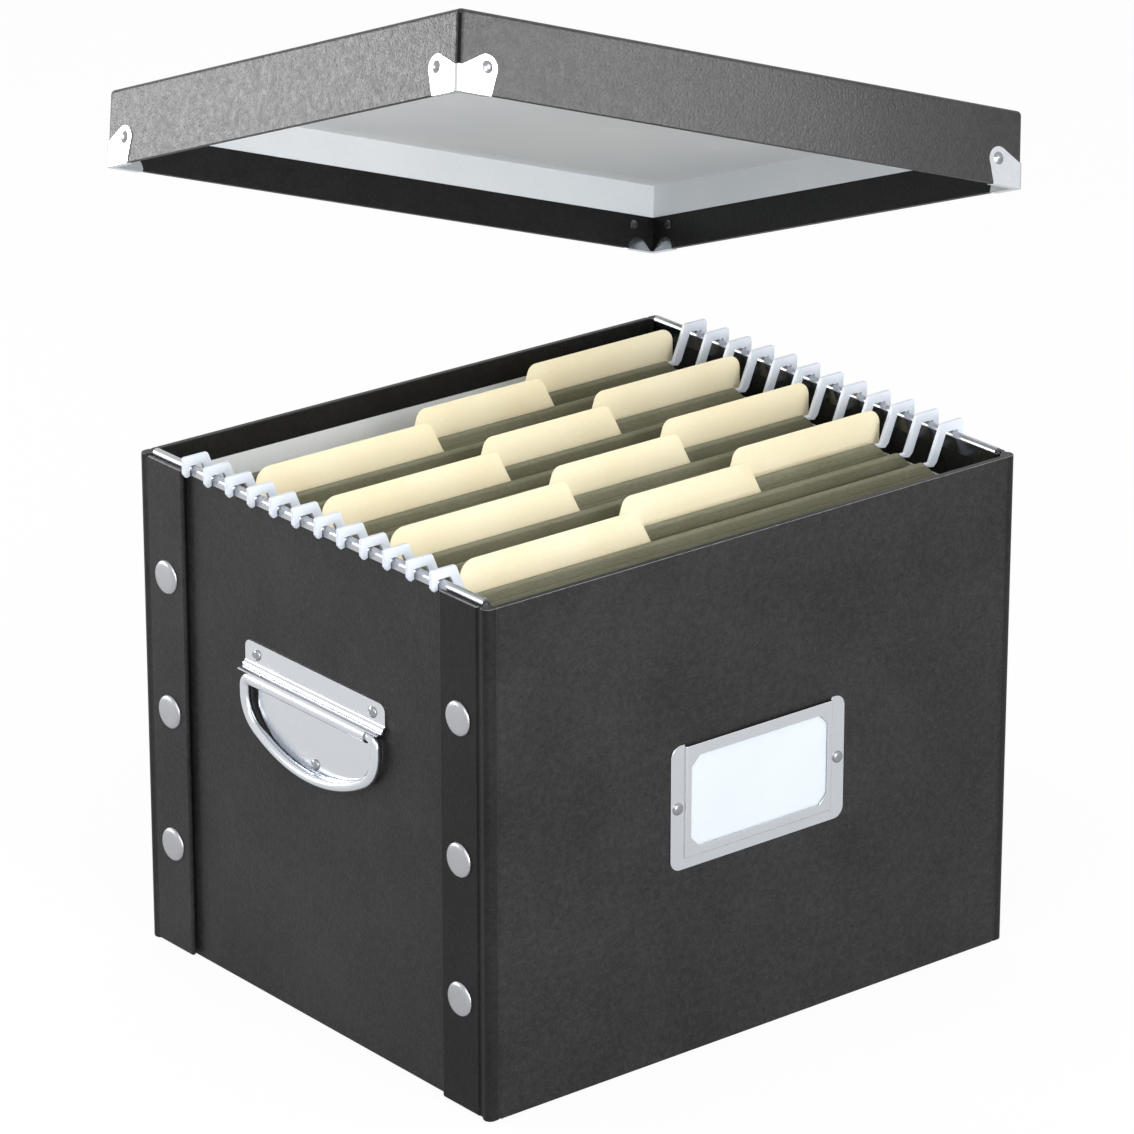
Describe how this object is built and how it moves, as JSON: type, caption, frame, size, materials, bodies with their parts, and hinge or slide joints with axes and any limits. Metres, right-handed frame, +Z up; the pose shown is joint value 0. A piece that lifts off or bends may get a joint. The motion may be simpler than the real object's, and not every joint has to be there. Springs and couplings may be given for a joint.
{
  "type": "portable file box",
  "caption": "Leathercloth-covered board file box with snap corners, chest handles, a card holder, file rails with hanging and manila folders, and a lift-off lid.",
  "frame": {"origin": "bottom centre of the box, on its underside", "axes": "+X along the card-holder side towards its right-hand end, +Y from the card-holder side to the back, +Z up"},
  "size_m": [0.3705, 0.3385, 0.53],
  "materials": {
    "cover_dark": "board covered in dark grey grained leathercloth",
    "cover_grey": "board covered in grey grained leathercloth",
    "lining": "matt pale grey lining paper",
    "nickel": "bright nickel plate",
    "card": "smooth white card",
    "olive_board": "matt olive card",
    "white_nylon": "white hooks on coated steel rods",
    "manila": "smooth cream manila card"
  },
  "bodies": {
    "box": {"base_panel": "cover_dark", "front_wall": "cover_dark", "back_wall": "cover_dark", "left_end_wall": "cover_dark", "right_end_wall": "cover_dark", "base_lining": "lining", "wall_linings": "lining", "snap_studs": "nickel", "left_rail": "nickel", "right_rail": "nickel", "left_handle_plate": "nickel", "right_handle_plate": "nickel", "handle_rivets": "nickel", "label_holder": "nickel", "label_rivets": "nickel"},
    "lid": {"lid_top": "cover_grey", "lid_front_wall": "cover_grey", "lid_back_wall": "cover_grey", "lid_left_wall": "cover_grey", "lid_right_wall": "cover_grey", "lid_lining": "lining", "lid_corner_guards": "nickel", "lid_rivets": "nickel"},
    "left_bail": {"left_bail": "nickel"},
    "right_bail": {"right_bail": "nickel"},
    "front_left_flap": {"front_left_flap": "cover_dark", "front_left_snaps": "nickel"},
    "front_right_flap": {"front_right_flap": "cover_dark", "front_right_snaps": "nickel"},
    "back_left_flap": {"back_left_flap": "cover_dark", "back_left_snaps": "nickel"},
    "back_right_flap": {"back_right_flap": "cover_dark", "back_right_snaps": "nickel"},
    "label_card": {"label_card": "card"},
    "hanging_folder_1": {"hanging_folder_1": "olive_board", "folder_hooks_1": "white_nylon"},
    "hanging_folder_2": {"hanging_folder_2": "olive_board", "folder_hooks_2": "white_nylon"},
    "hanging_folder_3": {"hanging_folder_3": "olive_board", "folder_hooks_3": "white_nylon"},
    "hanging_folder_4": {"hanging_folder_4": "olive_board", "folder_hooks_4": "white_nylon"},
    "hanging_folder_5": {"hanging_folder_5": "olive_board", "folder_hooks_5": "white_nylon"},
    "hanging_folder_6": {"hanging_folder_6": "olive_board", "folder_hooks_6": "white_nylon"},
    "manila_folder_1": {"manila_folder_1": "manila"},
    "manila_folder_2": {"manila_folder_2": "manila"},
    "manila_folder_3": {"manila_folder_3": "manila"},
    "manila_folder_4": {"manila_folder_4": "manila"},
    "manila_folder_5": {"manila_folder_5": "manila"},
    "manila_folder_6": {"manila_folder_6": "manila"},
    "manila_folder_7": {"manila_folder_7": "manila"},
    "manila_folder_8": {"manila_folder_8": "manila"},
    "manila_folder_9": {"manila_folder_9": "manila"},
    "manila_folder_10": {"manila_folder_10": "manila"},
    "manila_folder_11": {"manila_folder_11": "manila"},
    "manila_folder_12": {"manila_folder_12": "manila"}
  },
  "joints": [
    {"name": "lid_lift", "type": "hinge", "parent": "box", "child": "lid", "pos_m": [0.22817, 0.25341, 0.23655], "axis": [-0.7419, 0.668, -0.0579], "range_deg": [-27.55, 20]},
    {"name": "left_bail_swing", "type": "hinge", "parent": "box", "child": "left_bail", "pos_m": [-0.16725, 0, 0.171], "axis": [0, 1, 0], "range_deg": [0, 90]},
    {"name": "right_bail_swing", "type": "hinge", "parent": "box", "child": "right_bail", "pos_m": [0.16725, 0, 0.171], "axis": [0, -1, 0], "range_deg": [0, 90]},
    {"name": "front_left_flap_fold", "type": "hinge", "parent": "box", "child": "front_left_flap", "pos_m": [-0.164, -0.1355, 0.13], "axis": [0, 0, 1], "range_deg": [0, 90]},
    {"name": "front_right_flap_fold", "type": "hinge", "parent": "box", "child": "front_right_flap", "pos_m": [0.164, -0.1355, 0.13], "axis": [0, 0, -1], "range_deg": [0, 90]},
    {"name": "back_left_flap_fold", "type": "hinge", "parent": "box", "child": "back_left_flap", "pos_m": [-0.164, 0.1355, 0.13], "axis": [0, 0, -1], "range_deg": [0, 90]},
    {"name": "back_right_flap_fold", "type": "hinge", "parent": "box", "child": "back_right_flap", "pos_m": [0.164, 0.1355, 0.13], "axis": [0, 0, 1], "range_deg": [0, 90]},
    {"name": "label_card_slide", "type": "slide", "parent": "box", "child": "label_card", "axis": [0, 0, 1], "range_m": [0, 0.06]},
    {"name": "hanging_folder_1_lift", "type": "slide", "parent": "box", "child": "hanging_folder_1", "axis": [0, 0, 1], "range_m": [0, 0.06]},
    {"name": "hanging_folder_2_lift", "type": "slide", "parent": "box", "child": "hanging_folder_2", "axis": [0, 0, 1], "range_m": [0, 0.06]},
    {"name": "hanging_folder_3_lift", "type": "slide", "parent": "box", "child": "hanging_folder_3", "axis": [0, 0, 1], "range_m": [0, 0.06]},
    {"name": "hanging_folder_4_lift", "type": "slide", "parent": "box", "child": "hanging_folder_4", "axis": [0, 0, 1], "range_m": [0, 0.06]},
    {"name": "hanging_folder_5_lift", "type": "slide", "parent": "box", "child": "hanging_folder_5", "axis": [0, 0, 1], "range_m": [0, 0.06]},
    {"name": "hanging_folder_6_lift", "type": "slide", "parent": "box", "child": "hanging_folder_6", "axis": [0, 0, 1], "range_m": [0, 0.06]},
    {"name": "manila_folder_1_lift", "type": "slide", "parent": "hanging_folder_1", "child": "manila_folder_1", "axis": [0, 0, 1], "range_m": [0, 0.06]},
    {"name": "manila_folder_2_lift", "type": "slide", "parent": "box", "child": "manila_folder_2", "axis": [0, 0, 1], "range_m": [0, 0.06]},
    {"name": "manila_folder_3_lift", "type": "slide", "parent": "hanging_folder_2", "child": "manila_folder_3", "axis": [0, 0, 1], "range_m": [0, 0.06]},
    {"name": "manila_folder_4_lift", "type": "slide", "parent": "box", "child": "manila_folder_4", "axis": [0, 0, 1], "range_m": [0, 0.06]},
    {"name": "manila_folder_5_lift", "type": "slide", "parent": "hanging_folder_3", "child": "manila_folder_5", "axis": [0, 0, 1], "range_m": [0, 0.06]},
    {"name": "manila_folder_6_lift", "type": "slide", "parent": "box", "child": "manila_folder_6", "axis": [0, 0, 1], "range_m": [0, 0.06]},
    {"name": "manila_folder_7_lift", "type": "slide", "parent": "hanging_folder_4", "child": "manila_folder_7", "axis": [0, 0, 1], "range_m": [0, 0.06]},
    {"name": "manila_folder_8_lift", "type": "slide", "parent": "box", "child": "manila_folder_8", "axis": [0, 0, 1], "range_m": [0, 0.06]},
    {"name": "manila_folder_9_lift", "type": "slide", "parent": "hanging_folder_5", "child": "manila_folder_9", "axis": [0, 0, 1], "range_m": [0, 0.06]},
    {"name": "manila_folder_10_lift", "type": "slide", "parent": "box", "child": "manila_folder_10", "axis": [0, 0, 1], "range_m": [0, 0.06]},
    {"name": "manila_folder_11_lift", "type": "slide", "parent": "hanging_folder_6", "child": "manila_folder_11", "axis": [0, 0, 1], "range_m": [0, 0.06]},
    {"name": "manila_folder_12_lift", "type": "slide", "parent": "box", "child": "manila_folder_12", "axis": [0, 0, 1], "range_m": [0, 0.06]}
  ]
}
